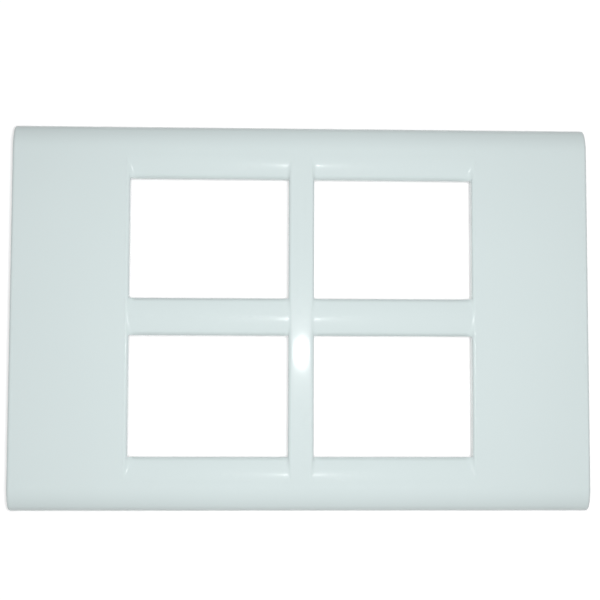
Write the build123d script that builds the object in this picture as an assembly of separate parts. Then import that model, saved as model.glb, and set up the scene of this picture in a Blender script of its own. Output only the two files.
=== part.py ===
from build123d import *
import math
import os

# Modular cover plate: one moulded piece with four windows in two rows of two.
# Lengths are in millimetres. The plate lies on its back rim, with +X along its width, +Y up its height
# and +Z out of its front face. The origin is the middle of the rim's plane.

# Outer form
plate_width = 222.0
plate_height = 148.0
plate_depth = 10.0
end_radius = 1.1

# Long edges, which roll over towards the wall and end in a tighter round
rollover_radius = 13.8
rollover_reach = 9.2
edge_radius = 4.3

# Walls
face_wall = 2.4
skirt_wall = 2.0

# Windows and the bars between them
window_width = 61.0
window_height = 46.2
centre_bar_width = 9.8
middle_bar_height = 14.4
wing_edge_radius = 1.1
bar_edge_radius = 1.2

# Convex strips above, between and below the windows
strip_radius = 27.0
strip_reach = 9.2
strip_edge_radius = 1.6
middle_strip_sink = 0.15

# Collars behind the windows
collar_wall = 1.8
collar_depth = 4.6

# Stiffening ribs behind the face
rib_wall = 1.4
rib_height = 1.6

# Hooks that snap into the mounting frame
hook_width = 8.0
hook_wall = 1.8
hook_barb = 0.9
hook_barb_height = 1.2
hook_lead_in = 1.6
hook_tip_gap = 1.0
hook_collar_gap = 1.6

# Places and heights worked out from the sizes above
cut_margin = 1.0
column_x = (centre_bar_width + window_width) / 2
row_y = (middle_bar_height + window_height) / 2
block_x = column_x + window_width / 2
block_y = row_y + window_height / 2
crest_y = block_y + strip_reach
roll_start_y = plate_height / 2 - rollover_reach
roll_axis_z = plate_depth - rollover_radius
edge_axis_y = plate_height / 2 - edge_radius
strip_axis_z = plate_depth - strip_radius
wing_middle_x = (plate_width / 2 + block_x) / 2
face_back_z = plate_depth - face_wall
rib_foot_z = face_back_z - rib_height
collar_foot_z = plate_depth - collar_depth


def rectangle(low, high):
    """Rectangle between two opposite corners of a section."""
    middle = ((low[0] + high[0]) / 2, (low[1] + high[1]) / 2)
    return Pos(*middle) * Rectangle(high[0] - low[0], high[1] - low[1])


def disc(centre, radius):
    """Disc about a point of a section."""
    return Pos(*centre) * Circle(radius)


def block(low, high):
    """Box between two opposite corners."""
    middle = [(a + b) / 2 for a, b in zip(low, high)]
    return Pos(*middle) * Box(*[b - a for a, b in zip(low, high)])


def both_sides(piece, plane):
    """A piece together with its mirror image in a plane."""
    return piece + mirror(piece, about=plane)


def rolled_section(face_inset, side_inset, foot_z):
    """Section across the height, inside the skin by an inset each at the face and the sides."""
    roll_radius = rollover_radius - face_inset
    round_radius = edge_radius - side_inset
    roll_angle = math.degrees(math.asin((edge_axis_y - roll_start_y) / (roll_radius - round_radius)))
    roll = CenterArc((roll_start_y, roll_axis_z), roll_radius, 90, -roll_angle)
    edge_axis_z = roll_axis_z + (roll_radius - round_radius) * math.cos(math.radians(roll_angle))
    edge = CenterArc((edge_axis_y, edge_axis_z), round_radius, 90 - roll_angle, roll_angle - 90)
    foot = (plate_height / 2 - side_inset, foot_z)
    side = Polyline(edge @ 1, foot, (0, foot_z), (0, plate_depth - face_inset))
    face = Line(side @ 1, roll @ 0)
    return Plane.YZ * both_sides(make_face([face, roll, edge, side]), Plane.YZ)


def outer_form():
    """Solid block in the plate's outer form, with the edges of its two ends rounded down to the rim."""
    form = extrude(rolled_section(0.0, 0.0, 0.0), plate_width / 2, both=True)
    ends = form.faces().sort_by(Axis.X)
    outline = ends[0].edges() + ends[-1].edges()
    return fillet([edge for edge in outline if (edge @ 0.5).Z > 0], end_radius)


def channel():
    """Cutter for the right-hand windows, flared at the rounded edges of the wing and the centre bar."""
    top_z = plate_depth + cut_margin
    bar_x = centre_bar_width / 2
    section = rectangle((bar_x, -cut_margin), (block_x, top_z))
    bar_flare = rectangle((bar_x - bar_edge_radius, plate_depth - bar_edge_radius), (bar_x, top_z))
    bar_flare -= disc((bar_x - bar_edge_radius, plate_depth - bar_edge_radius), bar_edge_radius)
    wing_flare = rectangle((block_x, plate_depth - wing_edge_radius), (block_x + wing_edge_radius, top_z))
    wing_flare -= disc((block_x + wing_edge_radius, plate_depth - wing_edge_radius), wing_edge_radius)
    return extrude(Plane.XZ * (section + bar_flare + wing_flare), crest_y, both=True)


def strip_sections(inset, foot_z):
    """Sections of the bottom, middle and top strips of a column, `inset` inside their skin."""
    radius = strip_radius - inset
    top = rectangle((block_y, foot_z), (crest_y, plate_depth))
    top &= disc((crest_y, strip_axis_z), radius)
    half_bar = middle_bar_height / 2
    middle = rectangle((-half_bar, foot_z), (half_bar, plate_depth))
    middle &= disc((0, strip_axis_z - middle_strip_sink), radius)
    return Plane.YZ * (both_sides(top, Plane.YZ) + middle)


def front_strip_sections():
    """Sections of the strips down to the rim, with their edges rounded at the windows."""
    sections = strip_sections(0.0, 0.0)
    window_edges = [corner for corner in sections.vertices() if corner.Z > 0 and abs(corner.Y) < crest_y]
    return fillet(window_edges, strip_edge_radius)


def strips(sections):
    """The right-hand column's strips, long enough to end inside its wing and centre bar."""
    low_x = centre_bar_width / 2 - bar_edge_radius
    high_x = block_x + wing_edge_radius
    return Pos(low_x, 0, 0) * extrude(sections, high_x - low_x)


def collar():
    """Collar round the right-hand upper window."""
    outer = Rectangle(window_width + 2 * collar_wall, window_height + 2 * collar_wall)
    ring = outer - Rectangle(window_width, window_height)
    return Pos(column_x, row_y, collar_foot_z) * extrude(ring, collar_depth)


def ribs():
    """Ribs along both directions, through the bars and the middle of each window and wing."""
    half_rib = rib_wall / 2
    end_x = plate_width / 2
    side_y = plate_height / 2
    grid = Part()
    for y in (-row_y, 0, row_y):
        grid += block((-end_x, y - half_rib, rib_foot_z), (end_x, y + half_rib, plate_depth))
    for x in (-wing_middle_x, 0, wing_middle_x):
        grid += block((x - half_rib, -side_y, rib_foot_z), (x + half_rib, side_y, plate_depth))
    return grid


def cavity():
    """Hollow behind the face, less what stands in it."""
    hollow = extrude(
        rolled_section(face_wall, skirt_wall, -cut_margin),
        plate_width / 2 - skirt_wall,
        both=True,
    )
    right = block((centre_bar_width / 2, -crest_y, -cut_margin), (block_x, crest_y, plate_depth))
    right -= strips(strip_sections(face_wall, -cut_margin))
    hollow -= both_sides(right, Plane.YZ)
    collars = both_sides(both_sides(collar(), Plane.XZ), Plane.YZ)
    return hollow - collars - ribs()


def hook():
    """Hook with its back on the YZ plane and its barb towards +X, from inside the face to near the rim."""
    tip_z = hook_tip_gap
    barb_z = tip_z + hook_lead_in
    root_z = plate_depth - face_wall / 2
    profile = Polyline(
        (0, root_z),
        (0, tip_z),
        (hook_wall, tip_z),
        (hook_wall + hook_barb, barb_z),
        (hook_wall, barb_z + hook_barb_height),
        (hook_wall, root_z),
        close=True,
    )
    return extrude(Plane.XZ * make_face(profile), hook_width / 2, both=True)


def hooks():
    """Two hooks beside each end of the window block, and one above and one below it."""
    seat_x = block_x + collar_wall + hook_collar_gap
    seat_y = block_y + collar_wall + hook_collar_gap
    side_pair = both_sides(Pos(seat_x, row_y, 0) * hook(), Plane.XZ)
    end_hook = Pos(0, seat_y, 0) * Rot(0, 0, 90) * hook()
    return both_sides(side_pair, Plane.YZ) + both_sides(end_hook, Plane.XZ)


def cover_plate():
    """The whole plate."""
    plate = outer_form()
    plate -= both_sides(channel(), Plane.YZ)
    plate += both_sides(strips(front_strip_sections()), Plane.YZ)
    return plate - cavity() + hooks()


os.makedirs("parts", exist_ok=True)
export_step(cover_plate(), "parts/cover_plate.step")
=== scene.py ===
"""Modular cover plate: a glossy white moulding with four windows, dressed for rendering.

Lengths are in metres in the part's own frame: +X along the plate's width, +Y up its height and +Z out of
its front. The plate lies on its back rim, and the camera looks down on its front.
"""
import logging
import math
from collections import Counter
from dataclasses import dataclass, field
from enum import Enum
from typing import Callable, Iterable

import bmesh
import bpy
from mathutils import Matrix, Vector


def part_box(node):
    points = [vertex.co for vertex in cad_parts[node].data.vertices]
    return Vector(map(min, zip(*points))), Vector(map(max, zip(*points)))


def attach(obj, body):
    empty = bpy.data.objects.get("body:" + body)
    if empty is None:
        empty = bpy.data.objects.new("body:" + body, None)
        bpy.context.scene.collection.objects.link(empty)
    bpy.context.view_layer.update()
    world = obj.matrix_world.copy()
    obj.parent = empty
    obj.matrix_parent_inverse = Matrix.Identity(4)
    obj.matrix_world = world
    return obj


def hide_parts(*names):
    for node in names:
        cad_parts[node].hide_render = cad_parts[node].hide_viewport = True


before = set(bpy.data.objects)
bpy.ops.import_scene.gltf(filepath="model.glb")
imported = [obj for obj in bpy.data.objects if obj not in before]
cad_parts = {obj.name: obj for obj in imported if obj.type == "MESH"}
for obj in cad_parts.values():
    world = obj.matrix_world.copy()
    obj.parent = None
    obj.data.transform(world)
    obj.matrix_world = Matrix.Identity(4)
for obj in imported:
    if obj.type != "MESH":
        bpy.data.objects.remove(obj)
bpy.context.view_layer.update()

NODE = "cover_plate"
BODY = "root"
SOFTNESS = "step_softness"
MM = 0.001
SHARP_ANGLE = math.radians(32.0)
SHADING_WEIGHT = 50
LOG = logging.getLogger("cover_plate")

Point = tuple[float, float, float]
Colour = tuple[float, float, float]


class Skin(Enum):
    """The two skins of the moulded shell."""

    FRONT = "front"
    BACK = "back"


class LampRole(Enum):
    """What a lamp does for the picture."""

    BODY_LIGHT = "body light"
    GLINT = "glint"


@dataclass(frozen=True)
class Section:
    """One station of the section across the plate's height.

    Attributes:
        y: Place up the plate.
        z: Height above the rim.
        turn: Angle of the outward normal, from +Z towards +Y.
        flat: True on the flat face, where strips, edges, collars and ribs are worked in.
    """

    y: float
    z: float
    turn: float
    flat: bool = False

    @classmethod
    def on_arc(cls, axis: tuple[float, float], radius: float, turn: float) -> "Section":
        """Place a station on an arc about an axis, given by its place up the plate and its height."""
        return cls(axis[0] + radius * math.sin(turn), axis[1] + radius * math.cos(turn), turn)

    def mirrored(self) -> "Section":
        """Mirror the station about the plate's middle."""
        return Section(-self.y, self.z, -self.turn, self.flat)


@dataclass(frozen=True)
class PlateForm:
    """Sizes of the moulding; the outer ones come from the part's box in model.glb.

    Attributes:
        width: Length of the plate along X.
        height: Height of the plate along Y.
        depth: Height of the front above the rim.
        end_radius: Radius of the rounding at the two ends.
        rollover_radius: Radius of the long edges' roll towards the wall.
        rollover_reach: Width of that roll together with its tight round.
        edge_radius: Radius of the tight round that ends the roll.
        face_wall: Thickness of the face.
        skirt_wall: Thickness of the wall round the outline.
        window_width: Width of a window.
        window_height: Height of a window.
        centre_bar: Width of the bar between the two columns of windows.
        middle_bar: Height of the bars between the two rows of windows.
        wing_edge_radius: Radius of the wings' edges at the windows.
        bar_edge_radius: Radius of the centre bar's edges.
        bar_crown_radius: Radius of the slight crown across the centre bar.
        strip_radius: Radius of the convex strips.
        strip_reach: Width of the strips above and below the windows.
        middle_strip_sink: Depth of the middle strips' crest below the front.
        strip_edge_radius: Radius of the strips' edges at the windows.
        bar_foot_radius: Radius at the foot of the step from the centre bar down to a strip.
        wing_foot_radius: Radius at the foot of the step from a wing down to a strip.
        collar_wall: Thickness of a window's collar.
        collar_depth: Depth of a collar's foot below the front.
        rib_wall: Thickness of a rib.
        rib_height: Height of a rib, measured from the back of the flat face.
        soft_margin: Distance by which the duller polish of a step stays inside its bounds.
    """

    width: float
    height: float
    depth: float
    end_radius: float = 1.1 * MM
    rollover_radius: float = 13.8 * MM
    rollover_reach: float = 9.2 * MM
    edge_radius: float = 4.3 * MM
    face_wall: float = 2.4 * MM
    skirt_wall: float = 2.0 * MM
    window_width: float = 61.0 * MM
    window_height: float = 46.2 * MM
    centre_bar: float = 9.8 * MM
    middle_bar: float = 14.4 * MM
    wing_edge_radius: float = 1.1 * MM
    bar_edge_radius: float = 1.2 * MM
    bar_crown_radius: float = 450.0 * MM
    strip_radius: float = 27.0 * MM
    strip_reach: float = 9.2 * MM
    middle_strip_sink: float = 0.15 * MM
    strip_edge_radius: float = 1.6 * MM
    bar_foot_radius: float = 3.0 * MM
    wing_foot_radius: float = 4.0 * MM
    collar_wall: float = 1.8 * MM
    collar_depth: float = 4.6 * MM
    rib_wall: float = 1.4 * MM
    rib_height: float = 1.6 * MM
    soft_margin: float = 0.01 * MM

    @property
    def bar_x(self) -> float:
        """Inner edge of the right-hand windows."""
        return self.centre_bar / 2

    @property
    def block_x(self) -> float:
        """Outer edge of the right-hand windows."""
        return self.bar_x + self.window_width

    @property
    def bar_y(self) -> float:
        """Lower edge of the upper windows."""
        return self.middle_bar / 2

    @property
    def block_y(self) -> float:
        """Upper edge of the upper windows."""
        return self.bar_y + self.window_height

    @property
    def crest_y(self) -> float:
        """Where a convex strip meets the flat front."""
        return self.block_y + self.strip_reach

    @property
    def row_y(self) -> float:
        """Middle of the upper windows."""
        return (self.bar_y + self.block_y) / 2

    @property
    def wing_x(self) -> float:
        """Middle of the right-hand wing."""
        return (self.width / 2 + self.block_x) / 2

    @property
    def roll_y(self) -> float:
        """Where the long edge starts to roll over."""
        return self.height / 2 - self.rollover_reach

    @property
    def roll_axis_z(self) -> float:
        """Height of the axis that the long edge rolls about."""
        return self.depth - self.rollover_radius

    def in_window_row(self, y: float) -> bool:
        """Tell whether a place up the plate lies strictly between a window's upper and lower edges."""
        return self.bar_y < abs(y) < self.block_y

    def in_window(self, x: float, y: float) -> bool:
        """Tell whether a point lies strictly inside a window."""
        return self.bar_x < abs(x) < self.block_x and self.in_window_row(y)

    def side_drop(self, x: float) -> float:
        """Find how far the rounded edges of the wings and the centre bar lie below the front.

        Args:
            x: Place along the plate.

        Returns:
            The drop, which is the plate's whole depth over the windows' width.
        """
        across = abs(x)
        if self.bar_x < across < self.block_x:
            return self.depth
        if across <= self.bar_x:
            radius = self.bar_edge_radius
            return arc_drop(radius, max(across - (self.bar_x - radius), 0.0))
        radius = self.wing_edge_radius
        return arc_drop(radius, max(self.block_x + radius - across, 0.0))

    def crown_drop(self, x: float, y: float) -> float:
        """Find how far the slight crown of the centre bar lies below the front.

        Args:
            x: Place along the plate.
            y: Place up the plate.

        Returns:
            The drop, which fades out along the strips and on the flat above and below the windows.
        """
        across = abs(x)
        if across >= self.block_x:
            return 0.0
        drop = arc_drop(self.bar_crown_radius, min(across, self.bar_x))
        along = max(across - self.bar_x, 0.0) / self.window_width
        return drop * (1 - along) * (1 - eased((abs(y) - self.block_y) / self.strip_reach))

    def strip_drop(self, y: float, inset: float = 0.0) -> float:
        """Find how far the convex strips lie below the flat skin.

        Args:
            y: Place up the plate, outside the windows' rows.
            inset: Distance of the skin inside the front.

        Returns:
            The drop of a strip's skin below the flat skin at the same inset.
        """
        up = abs(y)
        radius = self.strip_radius - inset
        if up >= self.crest_y:
            return 0.0
        if up >= self.block_y:
            return arc_drop(radius, self.crest_y - up)
        return self.middle_strip_sink + arc_drop(radius, up)

    def strip_edge_drop(self, y: float) -> float:
        """Find the extra drop of the small radius along a strip's edge at a window.

        Args:
            y: Place up the plate, outside the windows' rows.

        Returns:
            The drop below the strip's arc.
        """
        up = abs(y)
        from_edge = up - self.block_y if up >= self.block_y else self.bar_y - up
        return arc_drop(self.strip_edge_radius, max(self.strip_edge_radius - from_edge, 0.0))

    def front_drop(self, x: float, y: float) -> float:
        """Find how far the carved front lies below the plate's highest plane.

        Args:
            x: Place along the plate.
            y: Place up the plate.

        Returns:
            The drop of the front skin.
        """
        crown = self.crown_drop(x, y)
        if self.in_window_row(y):
            return crown + self.side_drop(x)
        strip = self.strip_drop(y) + self.strip_edge_drop(y)
        from_bar = abs(x) - (self.bar_x - self.bar_edge_radius)
        from_wing = self.block_x + self.wing_edge_radius - abs(x)
        bar_step = step_drop(from_bar, strip, self.bar_edge_radius, self.bar_foot_radius)
        wing_step = step_drop(from_wing, strip, self.wing_edge_radius, self.wing_foot_radius)
        return crown + min(bar_step, wing_step)

    def step_softness(self, x: float, y: float) -> float:
        """Tell how much duller the tool's polish is: fully in the steps at the wings, else not at all.

        Args:
            x: Place along the plate.
            y: Place up the plate.

        Returns:
            One inside a step, short of the stations that bound it, and zero elsewhere.
        """
        from_foot = abs(x) - (self.block_x - self.wing_foot_radius)
        from_edge = self.block_x + self.wing_edge_radius - abs(x)
        return float(min(from_foot, from_edge, self.crest_y - abs(y)) > self.soft_margin)

    def back_height(self, x: float, y: float, skin_z: float) -> float:
        """Find the height of the hollow's roof, with its collars and ribs.

        Args:
            x: Place along the plate.
            y: Place up the plate.
            skin_z: Height of the plain roof there.

        Returns:
            The roof's height above the rim.
        """
        across = abs(x)
        up = abs(y)
        low_x = self.bar_x - self.collar_wall
        high_x = self.block_x + self.collar_wall
        low_y = self.bar_y - self.collar_wall
        high_y = self.block_y + self.collar_wall
        if low_x <= across <= high_x and low_y <= up <= high_y:
            return self.depth - self.collar_depth
        roof = skin_z
        if self.bar_x <= across <= self.block_x and up < self.crest_y:
            roof -= self.strip_drop(y, self.face_wall)
        half_rib = self.rib_wall / 2
        on_rib = min(across, abs(across - self.wing_x), up, abs(up - self.row_y)) <= half_rib
        if on_rib:
            roof = min(roof, self.depth - self.face_wall - self.rib_height)
        return roof


def arc_drop(radius: float, along: float) -> float:
    """Find the drop of an arc below its tangent.

    Args:
        radius: Radius of the arc.
        along: Distance along the tangent from where it touches.

    Returns:
        The drop, up to the radius.
    """
    return radius - math.sqrt(max(radius**2 - along**2, 0.0))


def eased(share: float) -> float:
    """Ease a share from zero to one with level ends, holding it there beyond them."""
    held = min(max(share, 0.0), 1.0)
    return held * held * (3 - 2 * held)


def step_drop(along: float, height: float, edge_radius: float, foot_radius: float) -> float:
    """Follow a step down, which is an arc at its edge and a reversed arc into its foot.

    Args:
        along: Distance past the start of the step.
        height: Drop of the whole step.
        edge_radius: Radius of the arc at the edge.
        foot_radius: Radius of the arc at the foot.

    Returns:
        The drop there.
    """
    turn = math.acos(max(1 - height / (edge_radius + foot_radius), 0.0))
    reach = (edge_radius + foot_radius) * math.sin(turn)
    if along <= 0:
        return 0.0
    if along <= edge_radius * math.sin(turn):
        return arc_drop(edge_radius, along)
    return height - arc_drop(foot_radius, max(reach - along, 0.0))


def spread(low: float, high: float, steps: int) -> list[float]:
    """List evenly spaced values.

    Args:
        low: First value.
        high: Last value.
        steps: Number of steps between them.

    Returns:
        The values, with both ends.
    """
    return [low + (high - low) * step / steps for step in range(steps + 1)]


@dataclass
class ShellGrid:
    """Stations along and up the plate, shared by both skins so that their windows line up.

    Attributes:
        form: Sizes of the moulding.
        arc_steps: Steps round a quarter turn of an edge at a window.
        end_steps: Steps round the rounding at an end of the plate.
        roll_steps: Steps along the roll of a long edge.
        edge_steps: Steps round the tight round that ends the roll.
        strip_steps: Steps along a strip's arc above or below the windows, and along half a middle one.
        foot_steps: Steps along a rounded foot.
        span_steps: Steps along a plain stretch.
        step_gap: Distance over which a collar or a rib falls to the roof beside it.
        row_gap: Distance from a window's upper or lower edge to the first station inside it.
        support: Distance from a rounding or the rim to the extra station that keeps the shading even.
        repeat_gap: Distance within which two stations count as one.
    """

    form: PlateForm
    arc_steps: int = 10
    end_steps: int = 10
    roll_steps: int = 14
    edge_steps: int = 14
    strip_steps: int = 18
    foot_steps: int = 14
    span_steps: int = 8
    step_gap: float = 0.02 * MM
    row_gap: float = 0.1 * MM
    support: float = 0.4 * MM
    repeat_gap: float = 0.008 * MM

    def across(self) -> list[float]:
        """List the stations along the plate's flat stretch.

        Returns:
            The stations from the left end to the right.
        """
        form = self.form
        bar_foot = form.bar_x + form.bar_foot_radius
        wing_foot = form.block_x - form.wing_foot_radius
        bar_edge = form.bar_x - form.bar_edge_radius
        wing_edge = form.block_x + form.wing_edge_radius
        end_x = form.width / 2 - form.end_radius
        values = set(spread(0.0, bar_edge, self.span_steps))
        values.update(bar_edge + form.bar_edge_radius * math.sin(turn) for turn in self.quarter())
        values.update(wing_edge - form.wing_edge_radius * math.sin(turn) for turn in self.quarter())
        values.update(spread(form.bar_x, bar_foot, self.foot_steps))
        values.update(spread(wing_foot, form.block_x, self.foot_steps))
        values.update(spread(bar_foot, wing_foot, self.span_steps))
        values.update(spread(wing_edge, end_x, self.span_steps))
        values.update((wing_edge + self.support, end_x - self.support))
        for edge, outward in (
            (form.bar_x - form.collar_wall, -self.step_gap),
            (form.block_x + form.collar_wall, self.step_gap),
        ):
            values.update((edge, edge + outward))
        for middle in (0.0, form.wing_x):
            values.update(self.rib_lines(middle))
        return self.mirrored(values)

    def up(self) -> list[float]:
        """List the stations up the plate's flat stretch.

        Returns:
            The stations from the lower edge to the upper.
        """
        form = self.form
        values = set(spread(0.0, form.bar_y - form.strip_edge_radius, self.strip_steps))
        values.update(spread(form.block_y + form.strip_edge_radius, form.crest_y, self.strip_steps))
        values.update(spread(form.bar_y, form.block_y, self.span_steps))
        for turn in self.quarter():
            step = form.strip_edge_radius * (1 - math.sin(turn))
            values.update((form.bar_y - step, form.block_y + step))
        values.update((form.bar_y + self.row_gap, form.block_y - self.row_gap))
        for edge, outward in (
            (form.bar_y - form.collar_wall, -self.step_gap),
            (form.block_y + form.collar_wall, self.step_gap),
        ):
            values.update((edge, edge + outward))
        for middle in (0.0, form.row_y):
            values.update(self.rib_lines(middle))
        values.update((form.roll_y, form.roll_y - self.support))
        return self.mirrored(values)

    def quarter(self) -> list[float]:
        """List the angles of a quarter turn."""
        return spread(0.0, math.pi / 2, self.arc_steps)

    def rib_lines(self, middle: float) -> list[float]:
        """List the stations at a rib's two faces, each with one just outside it.

        Args:
            middle: Place of the rib's middle.

        Returns:
            The stations on the positive side.
        """
        low = middle - self.form.rib_wall / 2
        high = middle + self.form.rib_wall / 2
        return [value for value in (low - self.step_gap, low, high, high + self.step_gap) if value > 0]

    def mirrored(self, values: Iterable[float]) -> list[float]:
        """Sort stations and mirror them about the middle, without near repeats.

        Args:
            values: Stations on the positive side, zero among them.

        Returns:
            All the stations in order.
        """
        kept: list[float] = []
        for value in sorted(values):
            if not kept or value - kept[-1] > self.repeat_gap:
                kept.append(value)
        return [-value for value in reversed(kept[1:])] + kept

    def sections(self, skin: Skin) -> list[Section]:
        """List the stations of a skin's section, from the lower rim to the upper.

        Args:
            skin: The skin that is built.

        Returns:
            The stations: a wall, a tight round, the roll, the flat face, and the same again mirrored.
        """
        form = self.form
        face_inset, side_inset = (0.0, 0.0) if skin is Skin.FRONT else (form.face_wall, form.skirt_wall)
        roll_radius = form.rollover_radius - face_inset
        edge_radius = form.edge_radius - side_inset
        edge_y = form.height / 2 - form.edge_radius
        edge_turn = math.asin((edge_y - form.roll_y) / (roll_radius - edge_radius))
        edge_z = form.roll_axis_z + (roll_radius - edge_radius) * math.cos(edge_turn)
        side_y = form.height / 2 - side_inset
        half = [
            Section.on_arc((form.roll_y, form.roll_axis_z), roll_radius, turn)
            for turn in spread(0.0, edge_turn, self.roll_steps)[1:]
        ]
        half += [
            Section.on_arc((edge_y, edge_z), edge_radius, turn)
            for turn in spread(edge_turn, math.pi / 2, self.edge_steps)[1:]
        ]
        half += [Section(side_y, z, math.pi / 2) for z in (edge_z - self.support, self.support, 0.0)]
        flat = [Section(y, form.depth - face_inset, 0.0, True) for y in self.up()]
        return [section.mirrored() for section in reversed(half)] + flat + half


@dataclass(frozen=True)
class MouldedGloss:
    """Finish of glossy white moulded plastic, with a faint cool cast and slight moulding ripples.

    Attributes:
        light: Colour where the resin is palest.
        deep: Colour where it is a little denser.
        roughness: Lowest and highest roughness.
        step_roughness: Roughness in the steps at the strips' ends, where a tool is harder to polish.
        haze: Strength of the faint haze round a highlight.
        haze_roughness: Roughness of that haze.
        index: Refractive index of the resin.
        mottle_scale: Cloudiness of the resin, per metre.
        mottle_detail: Octaves of the cloudiness.
        sheen_scale: Patches of lower and higher roughness, per metre.
        sheen_detail: Octaves of those patches.
        ripple_scale: Long ripples of the moulded skin, per metre.
        ripple_height: Height that the ripples stand for.
        grain_scale: Fine grain of the tool's polish, per metre.
        grain_height: Height that the grain stands for.
        skin_detail: Octaves of the ripples and of the grain.
    """

    light: Colour = (0.705, 0.80, 0.80)
    deep: Colour = (0.685, 0.78, 0.78)
    roughness: tuple[float, float] = (0.05, 0.07)
    step_roughness: float = 0.18
    haze: float = 0.27
    haze_roughness: float = 0.2
    index: float = 1.5
    mottle_scale: float = 26.0
    mottle_detail: float = 3.0
    sheen_scale: float = 126.0
    sheen_detail: float = 4.0
    ripple_scale: float = 42.0
    ripple_height: float = 0.012 * MM
    grain_scale: float = 2600.0
    grain_height: float = 0.0006 * MM
    skin_detail: float = 2.0

    def material(self) -> bpy.types.Material:
        """Make the node material.

        Returns:
            The finished material.
        """
        material = bpy.data.materials.new("moulded_gloss")
        material.use_nodes = True
        nodes = material.node_tree.nodes
        links = material.node_tree.links
        shader = nodes["Principled BSDF"]
        place = nodes.new("ShaderNodeTexCoord").outputs["Object"]
        mottle = self.noise(nodes, links, place, self.mottle_scale, self.mottle_detail)
        tint = nodes.new("ShaderNodeMix")
        tint.data_type = "RGBA"
        tint.inputs["A"].default_value = (*self.light, 1.0)
        tint.inputs["B"].default_value = (*self.deep, 1.0)
        links.new(mottle, tint.inputs["Factor"])
        links.new(tint.outputs["Result"], shader.inputs["Base Color"])
        sheen = nodes.new("ShaderNodeMapRange")
        sheen.inputs["To Min"].default_value = self.roughness[0]
        sheen.inputs["To Max"].default_value = self.roughness[1]
        patches = self.noise(nodes, links, place, self.sheen_scale, self.sheen_detail)
        links.new(patches, sheen.inputs["Value"])
        softness = nodes.new("ShaderNodeAttribute")
        softness.attribute_name = SOFTNESS
        polish = nodes.new("ShaderNodeMix")
        polish.inputs["B"].default_value = self.step_roughness
        links.new(softness.outputs["Fac"], polish.inputs["Factor"])
        links.new(sheen.outputs["Result"], polish.inputs["A"])
        links.new(polish.outputs["Result"], shader.inputs["Roughness"])
        ripple_pattern = self.noise(nodes, links, place, self.ripple_scale, self.skin_detail)
        ripple = self.bump(nodes, links, ripple_pattern, self.ripple_height)
        grain_pattern = self.noise(nodes, links, place, self.grain_scale, self.skin_detail)
        grain = self.bump(nodes, links, grain_pattern, self.grain_height)
        links.new(ripple.outputs["Normal"], grain.inputs["Normal"])
        links.new(grain.outputs["Normal"], shader.inputs["Normal"])
        shader.inputs["IOR"].default_value = self.index
        shader.inputs["Coat Weight"].default_value = self.haze
        shader.inputs["Coat Roughness"].default_value = self.haze_roughness
        return material

    @staticmethod
    def noise(
        nodes: bpy.types.Nodes,
        links: bpy.types.NodeLinks,
        place: bpy.types.NodeSocket,
        scale: float,
        detail: float,
    ) -> bpy.types.NodeSocket:
        """Add a noise texture.

        Args:
            nodes: Nodes of the material.
            links: Links of the material.
            place: Socket with the point's place.
            scale: Scale of the noise, per metre.
            detail: Octaves of the noise.

        Returns:
            The noise's value socket.
        """
        texture = nodes.new("ShaderNodeTexNoise")
        texture.inputs["Scale"].default_value = scale
        texture.inputs["Detail"].default_value = detail
        links.new(place, texture.inputs["Vector"])
        return texture.outputs["Fac"]

    @staticmethod
    def bump(
        nodes: bpy.types.Nodes,
        links: bpy.types.NodeLinks,
        height: bpy.types.NodeSocket,
        distance: float,
    ) -> bpy.types.Node:
        """Add a bump node.

        Args:
            nodes: Nodes of the material.
            links: Links of the material.
            height: Socket with the height pattern.
            distance: Height that the pattern's full range stands for.

        Returns:
            The bump node.
        """
        node = nodes.new("ShaderNodeBump")
        node.inputs["Distance"].default_value = distance
        links.new(height, node.inputs["Height"])
        return node


def finish_piece(name: str, mesh: bmesh.types.BMesh, material: bpy.types.Material) -> bpy.types.Object:
    """Turn a built mesh into a piece of the object.

    Args:
        name: Name of the piece.
        mesh: The built mesh, which is freed.
        material: Finish of the piece.

    Returns:
        The piece, riding on the body and standing for the node.
    """
    bmesh.ops.recalc_face_normals(mesh, faces=mesh.faces)
    for face in mesh.faces:
        face.smooth = True
    for edge in mesh.edges:
        edge.smooth = edge.is_manifold and edge.calc_face_angle(math.pi) < SHARP_ANGLE
    data = bpy.data.meshes.new(name)
    mesh.to_mesh(data)
    mesh.free()
    data.materials.append(material)
    piece = bpy.data.objects.new(name, data)
    bpy.context.scene.collection.objects.link(piece)
    weighting = piece.modifiers.new("even_shading", "WEIGHTED_NORMAL")
    weighting.keep_sharp = True
    weighting.weight = SHADING_WEIGHT
    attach(piece, BODY)
    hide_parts(NODE)
    LOG.info("%s: %d faces, open edges %d", name, len(data.polygons), open_edges(data))
    return piece


def open_edges(data: bpy.types.Mesh) -> int:
    """Count the edges of a mesh that don't join two faces."""
    uses = Counter(key for polygon in data.polygons for key in polygon.edge_keys)
    return sum(1 for count in uses.values() if count != 2)


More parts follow.
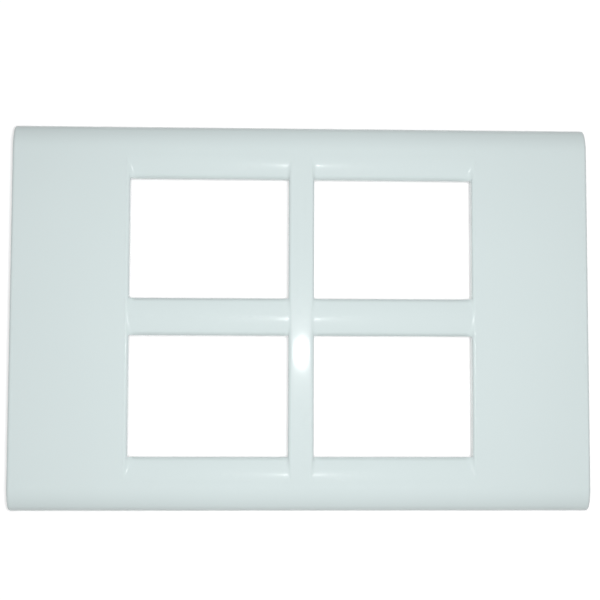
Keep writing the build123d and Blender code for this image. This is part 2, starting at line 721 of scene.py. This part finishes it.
@dataclass
class PlateShell:
    """The moulded shell: front skin, hollow with collars and ribs, window walls and rim.

    Attributes:
        form: Sizes of the moulding.
        finish: Finish of the moulding.
        grid: Stations of the two skins, laid out from the form.
    """

    form: PlateForm
    finish: MouldedGloss
    grid: ShellGrid = field(init=False)

    def __post_init__(self) -> None:
        """Lay out the stations of the form."""
        self.grid = ShellGrid(self.form)

    def front_point(self, x: float, turn: float, section: Section) -> Point:
        """Place a vertex of the front skin.

        Args:
            x: Place along the flat stretch, used where turn is zero.
            turn: Angle round the plate's end, signed by its side.
            section: Station of the section across the height.

        Returns:
            The vertex.
        """
        if turn == 0:
            drop = self.form.front_drop(x, section.y) if section.flat else 0.0
            return (x, section.y, section.z - drop)
        radius = self.form.end_radius
        inward = radius * (1 - math.cos(turn))
        end_x = self.form.width / 2 - radius * (1 - math.sin(abs(turn)))
        return (
            math.copysign(end_x, turn),
            section.y - inward * math.sin(section.turn),
            section.z - inward * math.cos(section.turn),
        )

    def back_point(self, x: float, section: Section) -> Point:
        """Place a vertex of the hollow's skin.

        Args:
            x: Place along the plate.
            section: Station of the section across the height.

        Returns:
            The vertex.
        """
        return (x, section.y, self.form.back_height(x, section.y, section.z))

    def columns(self, skin: Skin) -> list[tuple[float, float]]:
        """List the columns of vertices of a skin, each a place along the plate and an angle round its end.

        Args:
            skin: The skin that is built.

        Returns:
            The columns from left to right.
        """
        across = self.grid.across()
        if skin is Skin.BACK:
            wall_x = self.form.width / 2 - self.form.skirt_wall
            inner = [x for x in across if abs(x) < wall_x]
            return [(x, 0.0) for x in (-wall_x, *inner, wall_x)]
        turns = spread(0.0, math.pi / 2, self.grid.end_steps)[1:]
        left_end = [(0.0, -turn) for turn in reversed(turns)]
        right_end = [(0.0, turn) for turn in turns]
        return left_end + [(x, 0.0) for x in across] + right_end

    def add_skin(self, mesh: bmesh.types.BMesh, skin: Skin) -> list[list[bmesh.types.BMVert]]:
        """Add one skin, with holes at the windows and with its two end walls.

        Args:
            mesh: Mesh that takes the faces.
            skin: The skin to build.

        Returns:
            The skin's vertices, a list for each column.
        """
        sections = self.grid.sections(skin)
        columns = self.columns(skin)
        place: Callable[[float, float, Section], Point] = (
            self.front_point if skin is Skin.FRONT else lambda x, turn, section: self.back_point(x, section)
        )
        softness = mesh.verts.layers.float.get(SOFTNESS) or mesh.verts.layers.float.new(SOFTNESS)
        rows = [[mesh.verts.new(place(x, turn, section)) for section in sections] for x, turn in columns]
        if skin is Skin.FRONT:
            for (x, turn), row in zip(columns, rows):
                for section, vert in zip(sections, row):
                    vert[softness] = self.form.step_softness(x, section.y) if turn == 0 else 0.0
        for left in range(len(columns) - 1):
            for low in range(len(sections) - 1):
                corner_a = rows[left][low].co
                corner_b = rows[left + 1][low + 1].co
                middle = (corner_a + corner_b) / 2
                flat = sections[low].flat and sections[low + 1].flat
                if flat and self.form.in_window(middle.x, middle.y):
                    continue
                mesh.faces.new(
                    (rows[left][low], rows[left + 1][low], rows[left + 1][low + 1], rows[left][low + 1])
                )
        mesh.faces.new(rows[0])
        mesh.faces.new(rows[-1])
        return rows

    @staticmethod
    def drop_unused(mesh: bmesh.types.BMesh) -> None:
        """Delete the vertices over the windows, which carry no face."""
        bmesh.ops.delete(mesh, geom=[vert for vert in mesh.verts if not vert.link_faces], context="VERTS")

    def add_window_walls(
        self,
        mesh: bmesh.types.BMesh,
        front: list[list[bmesh.types.BMVert]],
        back: list[list[bmesh.types.BMVert]],
    ) -> None:
        """Join the two skins round each window.

        Args:
            mesh: Mesh that takes the walls.
            front: Vertices of the front skin.
            back: Vertices of the hollow's skin.
        """
        across = self.grid.across()
        up = self.grid.up()
        front_start = (len(front) - len(across)) // 2
        back_start = (len(back) - len(across)) // 2
        front_foot = (len(front[0]) - len(up)) // 2
        back_foot = (len(back[0]) - len(up)) // 2
        form = self.form

        def wall(first: tuple[int, int], second: tuple[int, int]) -> None:
            """Add the wall below a stretch of a window's edge.

            Args:
                first: Numbers of the stretch's first station, along and up the plate.
                second: Numbers of its second station.
            """
            mesh.faces.new(
                (
                    front[front_start + first[0]][front_foot + first[1]],
                    front[front_start + second[0]][front_foot + second[1]],
                    back[back_start + second[0]][back_foot + second[1]],
                    back[back_start + first[0]][back_foot + first[1]],
                )
            )

        for column in range(len(across) - 1):
            middle = (across[column] + across[column + 1]) / 2
            if form.bar_x < abs(middle) < form.block_x:
                for edge in (-form.block_y, -form.bar_y, form.bar_y, form.block_y):
                    row = nearest(up, edge)
                    wall((column, row), (column + 1, row))
        for row in range(len(up) - 1):
            if form.in_window_row((up[row] + up[row + 1]) / 2):
                for edge in (-form.block_x, -form.bar_x, form.bar_x, form.block_x):
                    column = nearest(across, edge)
                    wall((column, row), (column, row + 1))

    def add_rim(
        self,
        mesh: bmesh.types.BMesh,
        front: list[list[bmesh.types.BMVert]],
        back: list[list[bmesh.types.BMVert]],
    ) -> None:
        """Close the rim between the skins' feet.

        Args:
            mesh: Mesh that takes the faces.
            front: Vertices of the front skin.
            back: Vertices of the hollow's skin.
        """
        extra = (len(front) - len(back)) // 2
        for foot in (0, -1):
            for column in range(len(front) - 1):
                first = min(max(column - extra, 0), len(back) - 1)
                second = min(max(column + 1 - extra, 0), len(back) - 1)
                outer = [front[column][foot], front[column + 1][foot]]
                inner = [back[second][foot], back[first][foot]]
                mesh.faces.new(list(dict.fromkeys(outer + inner)))
        for end in (0, -1):
            mesh.faces.new((front[end][0], front[end][-1], back[end][-1], back[end][0]))

    def build(self) -> bpy.types.Object:
        """Build and dress the shell.

        Returns:
            The finished piece.
        """
        mesh = bmesh.new()
        front = self.add_skin(mesh, Skin.FRONT)
        back = self.add_skin(mesh, Skin.BACK)
        self.add_window_walls(mesh, front, back)
        self.add_rim(mesh, front, back)
        self.drop_unused(mesh)
        return finish_piece("plate_shell", mesh, self.finish.material())


def nearest(values: list[float], wanted: float) -> int:
    """Find the number of the value that lies nearest to a wanted one."""
    return min(range(len(values)), key=lambda number: abs(values[number] - wanted))


@dataclass
class SnapHooks:
    """Hooks behind the face that snap into the mounting frame.

    Attributes:
        form: Sizes of the moulding.
        width: Width of a hook.
        wall: Thickness of a hook.
        barb: Distance that the barb stands out.
        barb_height: Height over which the barb falls back to the hook's wall.
        lead_in: Height of the slope from the tip to the barb.
        tip_gap: Height of the tip above the rim.
        collar_gap: Distance from the collars to the hook's back.
        edge_break: Size of the broken edges.
        break_steps: Steps across a broken edge.
        break_profile: Shape of a broken edge, where one half stands for round.
    """

    form: PlateForm
    width: float = 8.0 * MM
    wall: float = 1.8 * MM
    barb: float = 0.9 * MM
    barb_height: float = 1.2 * MM
    lead_in: float = 1.6 * MM
    tip_gap: float = 1.0 * MM
    collar_gap: float = 1.6 * MM
    edge_break: float = 0.15 * MM
    break_steps: int = 2
    break_profile: float = 0.5

    def profile(self) -> list[tuple[float, float]]:
        """List the corners of a hook's outline.

        Returns:
            The corners, each as distance outwards from the hook's back and height above the rim.
        """
        barb_z = self.tip_gap + self.lead_in
        root_z = self.form.depth - self.form.face_wall / 2
        return [
            (0.0, root_z),
            (0.0, self.tip_gap),
            (self.wall, self.tip_gap),
            (self.wall + self.barb, barb_z),
            (self.wall, barb_z + self.barb_height),
            (self.wall, root_z),
        ]

    def placements(self) -> list[Matrix]:
        """List where the hooks stand: two beside each end of the window block, one above it and one below.

        Returns:
            The placements, each with the barb turned away from the windows.
        """
        form = self.form
        seat_x = form.block_x + form.collar_wall + self.collar_gap
        seat_y = form.block_y + form.collar_wall + self.collar_gap
        turns = [Matrix.Rotation(math.radians(turn), 4, "Z") for turn in (0, 90, 180, 270)]
        right, top, left, bottom = turns
        return [
            Matrix.Translation((seat_x, form.row_y, 0)) @ right,
            Matrix.Translation((seat_x, -form.row_y, 0)) @ right,
            Matrix.Translation((-seat_x, form.row_y, 0)) @ left,
            Matrix.Translation((-seat_x, -form.row_y, 0)) @ left,
            Matrix.Translation((0, seat_y, 0)) @ top,
            Matrix.Translation((0, -seat_y, 0)) @ bottom,
        ]

    def build(self, material: bpy.types.Material) -> bpy.types.Object:
        """Build and dress the hooks.

        Args:
            material: Finish shared with the shell.

        Returns:
            The finished piece.
        """
        mesh = bmesh.new()
        for placement in self.placements():
            ends = [
                [mesh.verts.new(placement @ Vector((x, side, z))) for x, z in self.profile()]
                for side in (-self.width / 2, self.width / 2)
            ]
            mesh.faces.new(ends[0])
            mesh.faces.new(ends[1])
            count = len(ends[0])
            for number in range(count):
                after = (number + 1) % count
                mesh.faces.new((ends[0][number], ends[0][after], ends[1][after], ends[1][number]))
        bmesh.ops.recalc_face_normals(mesh, faces=mesh.faces)
        bmesh.ops.bevel(
            mesh,
            geom=list(mesh.edges),
            offset=self.edge_break,
            segments=self.break_steps,
            profile=self.break_profile,
            affect="EDGES",
            clamp_overlap=True,
        )
        return finish_piece("snap_hooks", mesh, material)


@dataclass(frozen=True)
class Lamp:
    """An area lamp that faces straight down on the plate.

    Attributes:
        name: Name of the lamp.
        role: What the lamp does.
        place: Where it hangs.
        size: Its two sides.
        power: Its power in watts.
    """

    name: str
    role: LampRole
    place: Point
    size: tuple[float, float]
    power: float

    def hang(self) -> bpy.types.Object:
        """Add the lamp to the scene.

        Returns:
            The lamp's object.
        """
        light = bpy.data.lights.new(self.name, "AREA")
        light.shape = "RECTANGLE"
        light.size, light.size_y = self.size
        light.energy = self.power
        lamp = bpy.data.objects.new(self.name, light)
        lamp.location = self.place
        lamp.visible_glossy = self.role is LampRole.GLINT
        lamp.visible_diffuse = self.role is LampRole.BODY_LIGHT
        bpy.context.scene.collection.objects.link(lamp)
        return lamp


@dataclass(frozen=True)
class Studio:
    """White table, even sky, two lamps and the camera above the plate.

    Attributes:
        floor_size: Side of the table.
        floor_colour: Colour with which the table scatters light.
        near_white: Brightness added near the plate where the table is seen.
        far_white: Brightness added far from the plate where the table is seen.
        near_reach: Distance from the plate's middle where the added brightness starts to change.
        far_reach: Distance from the plate's middle where it stops changing.
        sky: Strength of the even light on surfaces that scatter it.
        horizon: Strength of the even light where it is seen.
        sky_colour: Colour of the even light.
        softbox_shift: Distances from the camera to the softbox, along and up the plate.
        softbox_size: Sides of the softbox.
        softbox_power: Power of the softbox in watts.
        catchlight_shift: Distances from the camera to the catchlight, along and up the plate.
        catchlight_size: Sides of the catchlight.
        catchlight_power: Power of the catchlight in watts.
        camera_place: Place of the camera.
        camera_pitch: Tilt of the camera towards the plate's upper or lower edge.
        camera_yaw: Turn of the camera towards the plate's left or right end.
        camera_roll: Turn of the camera about its own line of sight.
        sensor: Width of the camera's sensor in millimetres.
        lens: Focal length of the camera in millimetres.
    """

    floor_size: float = 6.0
    floor_colour: Colour = (0.8, 0.8, 0.8)
    near_white: float = 0.36
    far_white: float = 0.88
    near_reach: float = 0.1
    far_reach: float = 0.55
    sky: float = 0.08
    horizon: float = 0.95
    sky_colour: Colour = (1.0, 1.0, 1.0)
    softbox_shift: tuple[float, float] = (24.0 * MM, 6.0 * MM)
    softbox_size: tuple[float, float] = (0.12, 0.12)
    softbox_power: float = 1.95
    catchlight_shift: tuple[float, float] = (33.0 * MM, 23.0 * MM)
    catchlight_size: tuple[float, float] = (0.012, 0.012)
    catchlight_power: float = 0.112
    camera_place: Point = (-16.49 * MM, -24.96 * MM, 468.35 * MM)
    camera_pitch: float = math.radians(-3.922)
    camera_yaw: float = math.radians(1.996)
    camera_roll: float = math.radians(-0.171)
    sensor: float = 36.0
    lens: float = 72.0

    def beside_camera(self, shift: tuple[float, float]) -> Point:
        """Find the place level with the camera at a shift along and up the plate."""
        x, y, z = self.camera_place
        return (x + shift[0], y + shift[1], z)

    def lamps(self) -> list[Lamp]:
        """List the lamps.

        Returns:
            The soft lamp that lights the plate's body and the small one that makes its glints.
        """
        body_place = self.beside_camera(self.softbox_shift)
        glint_place = self.beside_camera(self.catchlight_shift)
        return [
            Lamp("softbox", LampRole.BODY_LIGHT, body_place, self.softbox_size, self.softbox_power),
            Lamp("catchlight", LampRole.GLINT, glint_place, self.catchlight_size, self.catchlight_power),
        ]

    def backdrop_material(self) -> bpy.types.Material:
        """Make the white of the table, which keeps a faint shadow and stays pale beyond the lamps' reach.

        Returns:
            The material.
        """
        material = bpy.data.materials.new("white_table")
        material.use_nodes = True
        nodes = material.node_tree.nodes
        links = material.node_tree.links
        nodes.clear()
        seen = self.seen_directly(nodes, links)
        reach = nodes.new("ShaderNodeVectorMath")
        reach.operation = "LENGTH"
        links.new(nodes.new("ShaderNodeTexCoord").outputs["Object"], reach.inputs[0])
        white = nodes.new("ShaderNodeMapRange")
        white.inputs["From Min"].default_value = self.near_reach
        white.inputs["From Max"].default_value = self.far_reach
        white.inputs["To Min"].default_value = self.near_white
        white.inputs["To Max"].default_value = self.far_white
        links.new(reach.outputs["Value"], white.inputs["Value"])
        share = nodes.new("ShaderNodeMath")
        share.operation = "MULTIPLY"
        links.new(seen, share.inputs[0])
        links.new(white.outputs["Result"], share.inputs[1])
        card = nodes.new("ShaderNodeBsdfDiffuse")
        card.inputs["Color"].default_value = (*self.floor_colour, 1.0)
        glow = nodes.new("ShaderNodeEmission")
        links.new(share.outputs[0], glow.inputs["Strength"])
        both = nodes.new("ShaderNodeAddShader")
        links.new(card.outputs["BSDF"], both.inputs[0])
        links.new(glow.outputs["Emission"], both.inputs[1])
        output = nodes.new("ShaderNodeOutputMaterial")
        links.new(both.outputs["Shader"], output.inputs["Surface"])
        return material

    @staticmethod
    def seen_directly(nodes: bpy.types.Nodes, links: bpy.types.NodeLinks) -> bpy.types.NodeSocket:
        """Add the test for rays that see a surface directly, in a gloss or through glass.

        Args:
            nodes: Nodes of the tree.
            links: Links of the tree.

        Returns:
            A socket that is one on such rays.
        """
        path = nodes.new("ShaderNodeLightPath")
        seen = path.outputs["Is Camera Ray"]
        for kind in ("Is Glossy Ray", "Is Transmission Ray"):
            either = nodes.new("ShaderNodeMath")
            either.operation = "MAXIMUM"
            links.new(seen, either.inputs[0])
            links.new(path.outputs[kind], either.inputs[1])
            seen = either.outputs[0]
        return seen

    def add_floor(self) -> None:
        """Add the table."""
        half = self.floor_size / 2
        corners = [(-half, -half, 0.0), (half, -half, 0.0), (half, half, 0.0), (-half, half, 0.0)]
        data = bpy.data.meshes.new("table")
        data.from_pydata(corners, [], [(0, 1, 2, 3)])
        data.materials.append(self.backdrop_material())
        table = bpy.data.objects.new("table", data)
        bpy.context.scene.collection.objects.link(table)

    def add_sky(self) -> None:
        """Add the even light all round, which the camera sees as nearly white."""
        world = bpy.data.worlds.new("studio")
        world.use_nodes = True
        nodes = world.node_tree.nodes
        links = world.node_tree.links
        nodes.clear()
        seen = self.seen_directly(nodes, links)
        level = nodes.new("ShaderNodeMapRange")
        level.inputs["To Min"].default_value = self.sky
        level.inputs["To Max"].default_value = self.horizon
        links.new(seen, level.inputs["Value"])
        light = nodes.new("ShaderNodeBackground")
        light.inputs["Color"].default_value = (*self.sky_colour, 1.0)
        links.new(level.outputs["Result"], light.inputs["Strength"])
        output = nodes.new("ShaderNodeOutputWorld")
        links.new(light.outputs["Background"], output.inputs["Surface"])
        bpy.context.scene.world = world

    def add_camera(self) -> None:
        """Add the camera at the photograph's viewing angle."""
        data = bpy.data.cameras.new("camera")
        data.sensor_width = self.sensor
        data.lens = self.lens
        camera = bpy.data.objects.new("camera", data)
        turn = (
            Matrix.Rotation(-self.camera_yaw, 4, "Y")
            @ Matrix.Rotation(-self.camera_pitch, 4, "X")
            @ Matrix.Rotation(-self.camera_roll, 4, "Z")
        )
        camera.matrix_world = Matrix.Translation(self.camera_place) @ turn
        bpy.context.scene.collection.objects.link(camera)
        bpy.context.scene.camera = camera

    def build(self) -> None:
        """Set up the whole studio."""
        self.add_camera()
        self.add_floor()
        self.add_sky()
        for lamp in self.lamps():
            lamp.hang()
        bpy.context.scene.view_settings.view_transform = "Standard"


def main() -> None:
    """Build the studio and the plate, and report each piece."""
    logging.basicConfig(level=logging.INFO, format="%(name)s: %(message)s")
    low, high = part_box(NODE)
    size = high - low
    form = PlateForm(width=size.x, height=size.y, depth=size.z)
    Studio().build()
    finish = MouldedGloss()
    shell = PlateShell(form, finish).build()
    SnapHooks(form).build(shell.data.materials[0])


if __name__ == "__main__":
    main()
